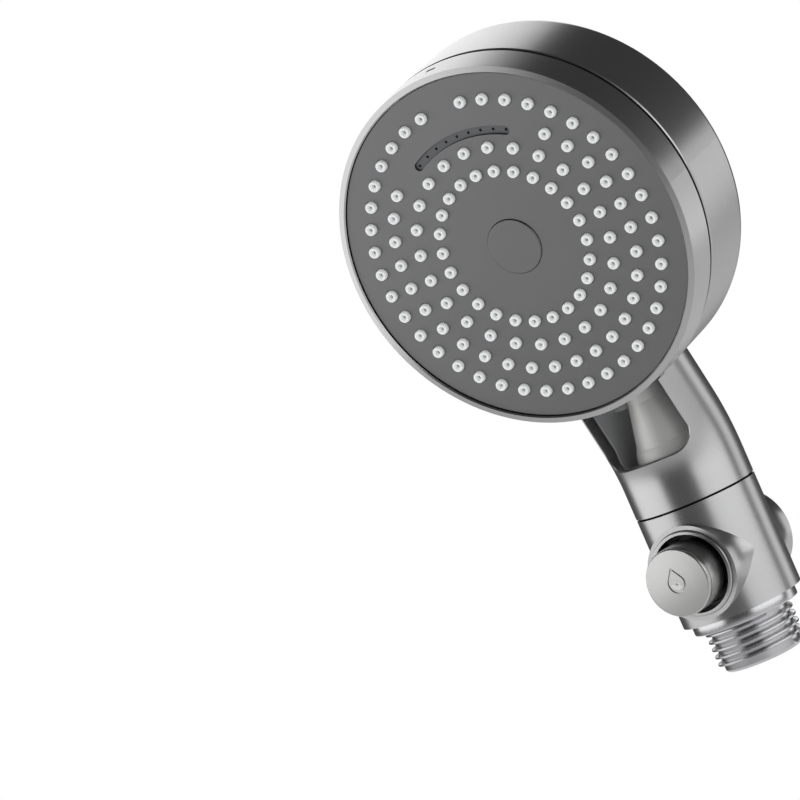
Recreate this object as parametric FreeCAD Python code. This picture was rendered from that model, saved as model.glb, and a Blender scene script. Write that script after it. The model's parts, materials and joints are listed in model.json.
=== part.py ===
import FreeCAD, Part
import math
import os

# Handheld shower head with a round spray drum, a turning mode ring, and a push-through stop valve
# in the handle. Millimetres and degrees. The origin is the centre of the inlet nipple's end face,
# +Z runs up the handle to the drum, and -Y is the side that the water leaves from.

Vec = FreeCAD.Vector

# ---------------------------------------------------------------- driving sizes: handle
HANDLE_R = 14.4
HANDLE_WALL = 2.4
HANDLE_FOOT = 13.1           # underside of the lower shell, on the nipple's shoulder
SEAM_Z = 40.0                # middle of the joint between lower shell and neck shell
SEAM_GAP = 0.5
CORE_TOP = 43.4              # top face of the valve core
WEB = 1.8                    # floor of the lower shell

# ---------------------------------------------------------------- driving sizes: inlet
THREAD_R = 10.478            # G 1/2 pipe thread: outside radius, pitch and depth
THREAD_PITCH = 1.814
THREAD_DEPTH = 1.162
THREAD_LENGTH = 10.5
SHOULDER_R = 12.6
STUB_R = 8.0                 # the nipple's own thread into the valve core
STUB_LENGTH = 5.6
INLET_BORE_R = 5.0
FILTER_R = 7.5
FILTER_DEPTH = 5.0
FILTER_STEP = 1.6
FILTER_SLIT = 1.0

# ---------------------------------------------------------------- driving sizes: stop valve
VALVE_RISE = 1.5             # nipple's stub to the spool's bore
SPOOL_R = 5.2
SPOOL_WAIST_R = 2.8
SPOOL_WAIST = 9.2
SPOOL_END_R = 3.4
BARREL_WALL = 1.6
BARREL_INSET = 2.2           # the barrel's ends, below the handle's surface
POCKET_DEPTH = 3.6           # ring-shaped pocket round the barrel, that each cap's skirt runs in
TRAVEL = 6.0
STOP_PLAY = 0.1              # gap left at either end of the travel
CAP_CLEAR = 0.3              # gap between a cap's skirt and the barrel that it runs on
CAP_WALL = 0.85
CAP_CROWN = 0.3              # how far each cap's face swells at its middle
CAP_EDGE = 0.45               # rounding of the cap's edge
CAP_GROOVE = 0.25            # depth and width of the fine ring groove behind the face
DROP_R = 2.3                 # engraved water drop on the front cap: its round part
DROP_LINE = 0.4              # width of the engraved line
DROP_DEPTH = 0.3
DROP_POINT = 54.0            # angle from the drop's point to where its sides meet the round part
CAP_PROUD = 2.0              # front cap's face beyond the handle's surface, when pushed in
START_PROUD = 1.1            # rear cap's face beyond it, when the front cap is out
COLLAR_GAP = 1.25            # open ring between a cap and its collar
COLLAR_WALL = 0.85
COLLAR_PROUD = 0.8           # front collar's rim beyond the handle's surface
REAR_COLLAR_PROUD = 1.0
BOSS_WALL = 1.0
BOSS_STEP = 0.6              # how far each collar's rim stands out of its boss
FLARE_R = 16.0               # hollow curve that leads each boss smoothly into the handle's side
VALVE_PORT_R = 2.0
VALVE_PORT_OFFSET = 2.6
SOCKET_ROOF = 2.8            # wall between the spool's bore and the stem's socket

# ---------------------------------------------------------------- driving sizes: neck
NECK_LEAN = 17.0
BEND_Z = 46.6
BEND_R = 42.0
WINDOW_HALF = 11.4
WINDOW_Z = 52.05
WINDOW_CORNER = 4.5
WINDOW_BACK = -2.0
WINDOW_LIP = 0.4             # small bevel on the opening's edge
STEM_R = 9.0
STEM_TOP_R = 4.5
STEM_TAPER = 15.0            # length of the stem's cone
STEM_BORE_R = 2.4
STEM_KNEE_Z = 50.7
SPIGOT_R = 6.95              # stem's lower end, in the valve core
NECK_SPIGOT_R = 3.9          # stem's upper end, in the manifold
SPIGOT_REACH = 1.6           # how far that end stops short of the manifold's tub
WEB_T = 1.5                  # ring inside the neck that the nut clamps to the flange
NECK_SCREW_X = 9.2
NECK_SCREW_S = 5.5
NECK_BOSS_DEEP = 6.0
FLANGE_R = 10.9
FLANGE_T = 1.6

# ---------------------------------------------------------------- driving sizes: spray drum
DRUM_FOOT = 70.6             # height of the drum's lowest side, before it is tilted
DRUM_TILT = 9.5
DRUM_R = 43.2
DRUM_DEPTH = 29.3
DRUM_WALL = 2.2
REAR_WALL = 2.4
REAR_FILLET = 2.4
RING_DEPTH = 9.0             # turning ring, front to back
RING_GAP = 1.0
RING_TAPER = 0.4             # how much smaller the ring is at its front
RING_RIM = 1.6               # width of the ring's front rim
RING_LIP = 0.3               # how far the rim slopes back, from its inner to its outer edge
RIM_EDGE = 0.3               # small bevel on the rim's inner edge
EDGE = 0.25                  # small chamfer on either side of the ring's gap
FACE_RECESS = 0.7
FACE_T = 1.6
FACE_GAP = 0.2
SKIRT_T = 1.3
MAT_T = 1.35
CHAMBER_H = 5.85
CHAMBER_WALL = 1.8
PLATE_T = 1.6
TURN_GAP = 1.2               # between the turning chamber plate and the fixed manifold
MANIFOLD_T = 2.6
TUB_WALL = 2.0
TUB_R = 26.0
TUB_CLEAR = 2.0
POST_R = 6.0
HUB_R = 9.6
POST_SIZE = 2.0              # radius of the face plate's screw posts
SCREW_PAD = 1.6              # raised pad round each face screw, inside the chamber
RING_FLANGE_T = 1.45         # ring's inner flange, which the chamber plate clamps to the face
RING_FLANGE_DEEP = 2.05      # face plate's back to that flange
TURN_RANGE = 45.0            # each way, one spray mode at either end and one in the middle

# ---------------------------------------------------------------- driving sizes: jets
JET_EDGE = 6.0               # face plate's edge to the outer circle of jets
JET_STEP = 5.65              # between circles of jets
JET_PITCH = 5.55             # between jets along a circle
JET_R = 1.25
JET_BASE_R = 1.45
JET_PROUD = 1.0
JET_BORE_R = 0.45
SLOT_STEP = 1.7              # second circle of jets to the arc slot's middle
SLOT_WIDTH = 2.1
SLOT_HALF = 26.0             # half the arc slot's angle, to the centres of its round ends
SLOT_SINK = 0.6
SLOT_BORE_R = 0.35
SLOT_BORES = 9
CENTRE_CAP_R = 6.5

# ---------------------------------------------------------------- driving sizes: port and detents
SNAP_BACK = 1.5              # snap ring behind the floor of the skirt's pocket
SNAP_WIRE = 0.45             # section radius of the snap ring that holds the spool at either end
SNAP_GAP = 24.0              # angle of the ring's split
PORT_CIRCLE_R = 20.0
PORT_R = 2.8
PORT_SEAL_R = 4.4
PORT_SOCKET_DEPTH = 7.1
BALL_R = 1.0
SPRING_R = 0.7
SPRING_WIRE = 0.15
LUG_R = 29.3
LUG_T = 1.4
LUG_HALF = 2.5

# ---------------------------------------------------------------- fasteners and named clearances
SCREW_R = 1.1
SCREW_HEAD_R = 2.2
SCREW_HEAD_T = 1.3
SCREW_BOSS_R = 3.0
PIVOT_SCREW_R = 2.5
RUN = 0.05                   # radial running fit of a shaft in its bore
SLIP = 0.1                   # assembly clearance between fixed pieces
SEAT = 0.05                  # end clearance between stacked pieces
TOUCH = 0.03                 # a sprung ball or seal just clear of what it presses on
FREE = 0.35                  # radial gap round a piece that slides without guiding
O_RING = 0.5                 # section radius of the spool's O-rings


# ---------------------------------------------------------------- places worked out from the sizes
SIN_TILT = math.sin(math.radians(DRUM_TILT))
DRUM_Z = DRUM_FOOT + DRUM_R  # where the drum's axis crosses the handle's, in the drum's rear plane
STEM_S = (DRUM_Z - STEM_KNEE_Z) * SIN_TILT
DRUM = FreeCAD.Placement(Vec(0, 0, DRUM_Z), FreeCAD.Rotation(Vec(1, 0, 0), 90 + DRUM_TILT))
VALVE_Z = HANDLE_FOOT + STUB_LENGTH + VALVE_RISE + SPOOL_R
VALVE = FreeCAD.Placement(Vec(0, 0, VALVE_Z), FreeCAD.Rotation(Vec(1, 0, 0), 90))
UPRIGHT = FreeCAD.Placement()

# stations along the drum's axis, forward of its rear plane
FACE_FRONT = DRUM_DEPTH - FACE_RECESS
FACE_BACK = FACE_FRONT - FACE_T
MAT_FRONT = FACE_BACK - SEAT
MAT_BACK = MAT_FRONT - MAT_T
CHAMBER_FRONT = MAT_BACK - SEAT
CHAMBER_FLOOR = CHAMBER_FRONT - CHAMBER_H
PLATE_BACK = CHAMBER_FLOOR - PLATE_T
MANIFOLD_FRONT = PLATE_BACK - TURN_GAP
MANIFOLD_BACK = MANIFOLD_FRONT - MANIFOLD_T
TUB_BACK = REAR_WALL + TUB_CLEAR
RING_BACK = DRUM_DEPTH - RING_DEPTH
SHELL_FRONT = RING_BACK - RING_GAP
POST_TOP = PLATE_BACK + 3.8
HUB_TOP = POST_TOP - 0.2

# radii in the drum
SHELL_BORE_R = DRUM_R - DRUM_WALL
RING_BORE_R = DRUM_R - RING_TAPER - RING_RIM
FACE_R = RING_BORE_R - FACE_GAP
SKIRT_R = FACE_R - SKIRT_T
MAT_R = SKIRT_R - 0.3
MANIFOLD_R = SHELL_BORE_R - 1.0
CHAMBER_R = SKIRT_R - 1.5
HUB_BORE_R = HUB_R - 0.9
SCREW_CIRCLE_R = MANIFOLD_R - SCREW_BOSS_R - 0.8

# places in the handle and neck
CAP_R = SPOOL_R + RUN + BARREL_WALL + CAP_CLEAR + CAP_WALL
COLLAR_R = CAP_R + COLLAR_GAP + COLLAR_WALL
BOSS_R = COLLAR_R + RUN + BOSS_WALL
BARREL_HALF = HANDLE_R - BARREL_INSET
POCKET_S = BARREL_HALF - POCKET_DEPTH
CAP_FACE = HANDLE_R + CAP_PROUD + TRAVEL
START_FACE = HANDLE_R + START_PROUD
COLLAR_RIM = HANDLE_R + COLLAR_PROUD
REAR_COLLAR_RIM = HANDLE_R + REAR_COLLAR_PROUD
FRONT_SHOULDER = BARREL_HALF + STOP_PLAY + TRAVEL
REAR_SHOULDER = -(BARREL_HALF + STOP_PLAY)
DETENT_S = POCKET_S - SNAP_BACK
SOCKET_FLOOR = VALVE_Z + SPOOL_R + SOCKET_ROOF
WEB_LOW = CORE_TOP + FLANGE_T + SLIP
WEB_HIGH = WEB_LOW + WEB_T
SOCKET_UP = -TUB_R - SPIGOT_REACH

# places of screws and of the ring's flange
NECK_SCREW_SEAT = SEAT - math.sqrt(SHELL_BORE_R ** 2 - (NECK_SCREW_X + SCREW_HEAD_R) ** 2)
HEAD_SEAT = MANIFOLD_FRONT - SCREW_HEAD_T - 0.15
FLANGE_FRONT = FACE_BACK - RING_FLANGE_DEEP
FLANGE_BACK = FLANGE_FRONT - RING_FLANGE_T
SKIRT_BACK = FLANGE_FRONT + SEAT
POST_FOOT = CHAMBER_FLOOR + SCREW_PAD + SEAT

# circles of jets, from the edge inwards, as long as they clear the centre cap
FIRST_JET_CIRCLE = FACE_R - JET_EDGE
SLOT_R = FIRST_JET_CIRCLE - JET_STEP - SLOT_STEP
PARTITION_R = SLOT_R - SLOT_WIDTH / 2 - 1.8
FACE_SCREW_CIRCLE = FIRST_JET_CIRCLE - JET_STEP / 2
FACE_SCREW_ANGLES = [50, 140, 230, 320]
SHELL_SCREW_ANGLES = [45, 135, 225, 315]


# ---------------------------------------------------------------- shapes
def disc(radius, low, high, x=0.0, y=0.0):
    """A cylinder along local Z."""
    return Part.makeCylinder(radius, high - low, Vec(x, y, low))


def tube(outer, inner, low, high, x=0.0, y=0.0):
    """A cylinder along local Z with a round hole through it."""
    return disc(outer, low, high, x, y).cut(disc(inner, low, high, x, y))


def lathe(outline):
    """The solid that an outline makes when it turns about local Z.

    Each point is (radius, height), or (radius, height, rounding) for a square corner made round.
    """
    points = [Vec(point[0], 0, point[1]) for point in outline]
    starts = []
    edges = []
    for index, here in enumerate(points):
        rounding = outline[index][2] if len(outline[index]) > 2 else 0
        before = (points[index - 1] - here).normalize() * rounding
        after = (points[(index + 1) % len(points)] - here).normalize() * rounding
        starts.append((here + before, here + after))
        if rounding:
            middle = here + (before + after) * (1 - math.sqrt(0.5))
            edges.append(Part.Arc(here + before, middle, here + after).toShape())
    for index, (arrive, leave) in enumerate(starts):
        edges.append(Part.makeLine(leave, starts[(index + 1) % len(starts)][0]))
    face = Part.Face(Part.Wire(Part.__sortEdges__(edges)))
    return face.revolve(Vec(0, 0, 0), Vec(0, 0, 1), 360)


def o_ring(groove_r, section, height):
    """A round rubber ring that lies on a groove's floor."""
    return Part.makeTorus(groove_r + section, section, Vec(0, 0, height))


def polar(radius, angle):
    """x and y of a point at an angle from local X."""
    turn = math.radians(angle)
    return radius * math.cos(turn), radius * math.sin(turn)


def sector(inner, outer, middle, half, low, high):
    """The part of a flat ring within an angle either side of its middle."""
    wedge = Part.makeCylinder(outer, high - low, Vec(0, 0, low), Vec(0, 0, 1), 2 * half)
    wedge.rotate(Vec(0, 0, 0), Vec(0, 0, 1), middle - half)
    return wedge.cut(disc(inner, low, high))


def arc_bar(radius, width, middle, half, low, high):
    """A bar bent round the axis, with round ends."""
    bar = sector(radius - width / 2, radius + width / 2, middle, half, low, high)
    ends = [disc(width / 2, low, high, *polar(radius, middle + side * half)) for side in (-1, 1)]
    return bar.fuse(ends).removeSplitter()


def coil(radius, wire, low, high, turns, x=0.0, y=0.0):
    """A compression spring along local Z, between two end planes."""
    height = high - low - 2 * wire
    helix = Part.makeHelix(height / turns, height, radius)
    section = Part.Wire([Part.Circle(Vec(radius, 0, 0), Vec(0, 1, 0), wire).toShape()])
    spring = Part.Wire(helix).makePipeShell([section], True, True)
    spring.translate(Vec(x, y, low + wire))
    return spring


def screw(low, high, head_up, x, y, radius=SCREW_R, head_r=SCREW_HEAD_R, head_t=SCREW_HEAD_T):
    """A cylinder-head screw with a cross slot; low and high are the shank's ends."""
    if head_up:
        head = disc(head_r, high, high + head_t, x, y)
        slot_low = high + head_t / 2
    else:
        head = disc(head_r, low - head_t, low, x, y)
        slot_low = low - head_t
    body = disc(radius, low, high, x, y).fuse(head)
    slot = head_r * 1.3
    for size_x, size_y in ((slot, head_r * 0.3), (head_r * 0.3, slot)):
        corner = Vec(x - size_x / 2, y - size_y / 2, slot_low)
        body = body.cut(Part.makeBox(size_x, size_y, head_t / 2, corner))
    return body


def across(radius, start, end, height, x=0.0):
    """A cylinder along local Y."""
    return Part.makeCylinder(radius, end - start, Vec(x, start, height), Vec(0, 1, 0))


def round_edge(shape, size, radius, height):
    """Round the circular edge that has this radius and height."""
    edges = []
    for edge in shape.Edges:
        if isinstance(edge.Curve, Part.Circle) and abs(edge.Curve.Radius - radius) < 0.01:
            if abs(edge.Curve.Center.z - height) < 0.01:
                edges.append(edge)
    return shape.makeFillet(size, edges)


def save(node, solids, place=UPRIGHT):
    """Write one named sub-part, made of one or more separate solids."""
    placed = []
    for solid in solids:
        for piece in solid.Solids:
            piece.Placement = place.multiply(piece.Placement)
            placed.append(piece)
    shape = placed[0] if len(placed) == 1 else Part.makeCompound(placed)
    shape.exportStep("parts/" + node + ".step")
    print(node, len(placed), "solid", round(shape.Volume, 1), "mm3", "valid", shape.isValid())


# ---------------------------------------------------------------- inlet
def build_inlet():
    """Nipple with its hose thread, and the filter and washer in its mouth."""
    turns = int((THREAD_LENGTH - 1.0) / THREAD_PITCH)
    crest = THREAD_PITCH * 0.3
    root = THREAD_PITCH * 0.2
    slope = (THREAD_PITCH - crest - root) / 2
    outline = [(FILTER_R + SLIP, 0), (THREAD_R - 0.4, 0), (THREAD_R, 0.4)]
    height = 0.4 + crest
    for turn in range(turns):
        outline.append((THREAD_R, height))
        outline.append((THREAD_R - THREAD_DEPTH, height + slope))
        outline.append((THREAD_R - THREAD_DEPTH, height + slope + root))
        outline.append((THREAD_R, height + slope + root + slope))
        height = height + THREAD_PITCH
    stub_top = HANDLE_FOOT + STUB_LENGTH
    outline += [(THREAD_R, THREAD_LENGTH), (SHOULDER_R - 0.5, THREAD_LENGTH)]
    outline += [(SHOULDER_R, THREAD_LENGTH + 0.5), (SHOULDER_R, HANDLE_FOOT)]
    outline += [(STUB_R, HANDLE_FOOT), (STUB_R, stub_top), (INLET_BORE_R, stub_top)]
    outline += [(INLET_BORE_R, FILTER_DEPTH), (FILTER_R + SLIP, FILTER_DEPTH)]
    nipple = lathe(outline)
    seal_z = stub_top - 1.6
    seal_floor = STUB_R - 2 * O_RING
    nipple = nipple.cut(tube(STUB_R + 1, seal_floor, seal_z - 0.55, seal_z + 0.55))
    save("inlet_nipple", [nipple])
    save("nipple_seal", [o_ring(seal_floor, O_RING, seal_z)])

    rim = tube(FILTER_R, FILTER_R - 1.2, FILTER_DEPTH - 2.5, FILTER_DEPTH - SEAT)
    mesh = disc(FILTER_R - 1.2, FILTER_DEPTH - 0.6, FILTER_DEPTH - SEAT)
    for bar in range(-3, 4):
        corner = Vec(bar * FILTER_STEP - FILTER_SLIT / 2, -FILTER_R, FILTER_DEPTH - 0.62)
        slit = Part.makeBox(FILTER_SLIT, 2 * FILTER_R, 0.35, corner)
        mesh = mesh.cut(slit.common(disc(FILTER_R - 1.8, 0, FILTER_DEPTH)))
    save("inlet_filter", [rim.fuse(mesh)])
    save("filter_washer", [tube(FILTER_R, FILTER_R - 3.0, 0.4, FILTER_DEPTH - 2.5 - SEAT)])


# ---------------------------------------------------------------- lower handle and stop valve
def boss(rim):
    """A round boss that widens in a hollow curve, which ends tangent to the handle's side."""
    straight = math.sqrt((HANDLE_R + FLARE_R) ** 2 - (BOSS_R + FLARE_R) ** 2)
    end = math.asin(straight / (HANDLE_R + FLARE_R))
    middle = Vec(BOSS_R + FLARE_R * (1 - math.cos(end / 2)), 0, straight - FLARE_R * math.sin(end / 2))
    touch = Vec(HANDLE_R * math.cos(end), 0, HANDLE_R * math.sin(end))
    corners = [touch, Vec(0, 0, touch.z), Vec(0, 0, rim), Vec(BOSS_R, 0, rim), Vec(BOSS_R, 0, straight)]
    edges = [Part.makeLine(corners[index], corners[index + 1]) for index in range(4)]
    edges.append(Part.Arc(corners[4], middle, corners[0]).toShape())
    return Part.Face(Part.Wire(edges)).revolve(Vec(0, 0, 0), Vec(0, 0, 1), 360)


def build_lower_handle():
    """Lower shell, valve core, and the trim collars round the two caps."""
    top = SEAM_Z - SEAM_GAP / 2
    inside_r = HANDLE_R - HANDLE_WALL
    front = boss(COLLAR_RIM - BOSS_STEP)
    front.Placement = VALVE
    back = boss(REAR_COLLAR_RIM - BOSS_STEP)
    back.Placement = VALVE.multiply(FreeCAD.Placement(Vec(), FreeCAD.Rotation(Vec(1, 0, 0), 180)))
    bosses = front.fuse(back).common(disc(2 * HANDLE_R, HANDLE_FOOT, top))
    shell = disc(HANDLE_R, HANDLE_FOOT, top).fuse(bosses)
    shell = shell.cut(disc(inside_r, HANDLE_FOOT + WEB, top))
    shell = shell.cut(disc(STUB_R + SLIP, HANDLE_FOOT, HANDLE_FOOT + WEB))
    shell = shell.cut(across(COLLAR_R + RUN, -HANDLE_R - 10, HANDLE_R + 10, VALVE_Z))
    save("lower_shell", [shell])

    core_r = inside_r - 0.3
    core_foot = HANDLE_FOOT + WEB + SLIP
    bore_r = SPOOL_R + RUN
    barrel_r = bore_r + BARREL_WALL
    stub_top = HANDLE_FOOT + STUB_LENGTH
    spot = BARREL_HALF - 1.8
    core = disc(core_r, core_foot, CORE_TOP)
    core = core.fuse(across(barrel_r, -BARREL_HALF, BARREL_HALF, VALVE_Z))
    for side in (-1, 1):
        for radius, start in ((COLLAR_R + SLIP, spot), (CAP_R + FREE, POCKET_S)):
            reach = sorted((side * start, side * 2 * HANDLE_R))
            face = across(radius, reach[0], reach[1], VALVE_Z)
            core = core.cut(face.cut(across(barrel_r, reach[0], reach[1], VALVE_Z)))
    core = core.cut(across(bore_r, -2 * HANDLE_R, 2 * HANDLE_R, VALVE_Z))
    core = core.cut(disc(STUB_R + RUN, core_foot, stub_top + 0.2))
    core = core.cut(disc(SPIGOT_R + RUN, SOCKET_FLOOR, CORE_TOP))
    core = core.cut(disc(VALVE_PORT_R, stub_top, VALVE_Z, 0, VALVE_PORT_OFFSET))
    core = core.cut(disc(VALVE_PORT_R, VALVE_Z, SOCKET_FLOOR, 0, -VALVE_PORT_OFFSET))
    groove_r = SPOOL_R + TOUCH + 2 * SNAP_WIRE + SLIP
    groove_half = SNAP_WIRE + SEAT
    core = core.cut(across(groove_r, -DETENT_S - groove_half, -DETENT_S + groove_half, VALVE_Z))
    save("valve_core", [core])
    snap = Part.makeTorus(SPOOL_R + TOUCH + SNAP_WIRE, SNAP_WIRE, Vec(0, 0, DETENT_S))
    split = sector(SPOOL_R / 2, 2 * SPOOL_R, 0, SNAP_GAP / 2, DETENT_S - 1, DETENT_S + 1)
    save("snap_ring", [snap.cut(split)], VALVE)

    inner_r = COLLAR_R - COLLAR_WALL
    collar = tube(COLLAR_R, inner_r, spot + SLIP, COLLAR_RIM)
    collar = round_edge(collar, COLLAR_WALL * 0.4, COLLAR_R, COLLAR_RIM)
    save("front_collar", [collar], VALVE)
    collar = tube(COLLAR_R, inner_r, -REAR_COLLAR_RIM, -spot - SLIP)
    collar = round_edge(collar, COLLAR_WALL * 0.4, COLLAR_R, -REAR_COLLAR_RIM)
    save("rear_collar", [collar], VALVE)


def build_spool():
    """The sliding spool with its O-rings, and a push cap on either end."""
    half = SPOOL_WAIST / 2
    front_end = FRONT_SHOULDER + 2.7
    rear_end = REAR_SHOULDER - 2.0
    outline = [(0, rear_end), (SPOOL_END_R, rear_end), (SPOOL_END_R, REAR_SHOULDER)]
    outline += [(SPOOL_R, REAR_SHOULDER), (SPOOL_R, -half), (SPOOL_WAIST_R, -half)]
    outline += [(SPOOL_WAIST_R, half), (SPOOL_R, half), (SPOOL_R, FRONT_SHOULDER)]
    outline += [(SPOOL_END_R, FRONT_SHOULDER), (SPOOL_END_R, front_end), (0, front_end)]
    spool = lathe(outline)
    floor = SPOOL_R - 2 * O_RING
    seals = []
    for middle in (-half - 0.8, half + 0.8, BARREL_HALF - 1.0):
        spool = spool.cut(tube(SPOOL_R + 1, floor, middle - 0.55, middle + 0.55))
        seals.append(o_ring(floor, O_RING, middle))
    for middle in (DETENT_S, DETENT_S + TRAVEL):
        notch = [(SPOOL_R + 0.1, middle - 0.5), (SPOOL_R - 0.4, middle), (SPOOL_R + 0.1, middle + 0.5)]
        spool = spool.cut(lathe(notch))
    save("spool", [spool], VALVE)
    save("spool_seals", seals, VALVE)

    stop = push_cap(CAP_FACE, FRONT_SHOULDER, POCKET_S + 0.3 + TRAVEL, front_end)
    line = water_drop(DROP_R, CAP_FACE - DROP_DEPTH, CAP_FACE + 1)
    line = line.cut(water_drop(DROP_R - DROP_LINE, CAP_FACE - DROP_DEPTH, CAP_FACE + 1))
    save("stop_cap", [stop.cut(line)], VALVE)
    start = push_cap(START_FACE, -REAR_SHOULDER, POCKET_S + 0.3, -rear_end)
    start.rotate(Vec(0, 0, 0), Vec(1, 0, 0), 180)
    save("start_cap", [start], VALVE)


def water_drop(radius, low, high):
    """A drop-shaped prism, point upwards."""
    turn = math.radians(DROP_POINT)
    side = Vec(radius * math.sin(turn), radius * math.cos(turn), low)
    point = Vec(0, radius / math.cos(turn), low)
    other = Vec(-side.x, side.y, low)
    edges = [Part.Arc(side, Vec(0, -radius, low), other).toShape(), Part.makeLine(other, point)]
    edges.append(Part.makeLine(point, side))
    return Part.Face(Part.Wire(edges)).extrude(Vec(0, 0, high - low))


def push_cap(face, shoulder, skirt, spool_end):
    """A cup that fits on the spool's end; its skirt hides the spool when it stands out."""
    groove = face - CAP_CROWN - 1.2
    side = face - CAP_CROWN
    flat_r = CAP_R - CAP_EDGE
    ball_r = (flat_r ** 2 + CAP_CROWN ** 2) / (2 * CAP_CROWN)
    swell = face - ball_r + math.sqrt(ball_r ** 2 - flat_r ** 2 / 4)
    round_off = CAP_EDGE * (1 - math.sqrt(0.5))
    corners = [Vec(flat_r, 0, side), Vec(0, 0, face), Vec(0, 0, skirt), Vec(CAP_R, 0, skirt)]
    corners.append(Vec(CAP_R, 0, side - CAP_EDGE))
    edges = [Part.makeLine(corners[index], corners[index + 1]) for index in range(1, 4)]
    edges.append(Part.Arc(corners[4], Vec(CAP_R - round_off, 0, side - round_off), corners[0]).toShape())
    edges.append(Part.Arc(corners[0], Vec(flat_r / 2, 0, swell), corners[1]).toShape())
    cap = Part.Face(Part.Wire(Part.__sortEdges__(edges))).revolve(Vec(0, 0, 0), Vec(0, 0, 1), 360)
    cap = cap.cut(tube(CAP_R + 1, CAP_R - CAP_GROOVE, groove - CAP_GROOVE / 2, groove + CAP_GROOVE / 2))
    cap = cap.cut(disc(CAP_R - CAP_WALL, skirt, shoulder))
    return cap.cut(disc(SPOOL_END_R + RUN, shoulder, spool_end + SEAT))


# ---------------------------------------------------------------- neck
def sleeve(radius, low):
    """A round bar that rises with the handle and then leans forward into the drum."""
    lean = math.radians(NECK_LEAN)
    upright = disc(radius, low, BEND_Z)
    section = Part.Face(Part.Wire([Part.makeCircle(radius, Vec(0, 0, BEND_Z))]))
    bend = section.revolve(Vec(0, -BEND_R, BEND_Z), Vec(1, 0, 0), NECK_LEAN)
    top = Vec(0, -BEND_R * (1 - math.cos(lean)), BEND_Z + BEND_R * math.sin(lean))
    reach = DRUM_Z - BEND_Z
    leaning = Part.makeCylinder(radius, reach, top, Vec(0, -math.sin(lean), math.cos(lean)))
    return upright.fuse([bend, leaning]).removeSplitter()


def window():
    """The U-shaped opening in the neck's front, open upwards."""
    size = Vec(2 * WINDOW_HALF, 4 * HANDLE_R, DRUM_Z - WINDOW_Z)
    corner = Vec(-WINDOW_HALF, WINDOW_BACK - 4 * HANDLE_R, WINDOW_Z)
    block = Part.makeBox(size.x, size.y, size.z, corner)
    bottom = []
    for edge in block.Edges:
        middle = edge.CenterOfMass
        along_y = abs(middle.y - (corner.y + size.y / 2)) < 0.01
        if along_y and abs(middle.z - WINDOW_Z) < 0.01 and abs(middle.x) > 1:
            bottom.append(edge)
    return block.makeFillet(WINDOW_CORNER, bottom)


def shared_edges(shape, first, second):
    """The shape's edges that run along the surfaces of two other shapes."""
    found = []
    for edge in shape.Edges:
        start, end = edge.ParameterRange
        on_both = True
        for share in (0.2, 0.5, 0.8):
            point = Part.Vertex(edge.valueAt(start + share * (end - start)))
            for other in (first, second):
                on_both = on_both and point.distToShape(other.Shells[0])[0] < 0.001
        if on_both:
            found.append(edge)
    return found


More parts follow.
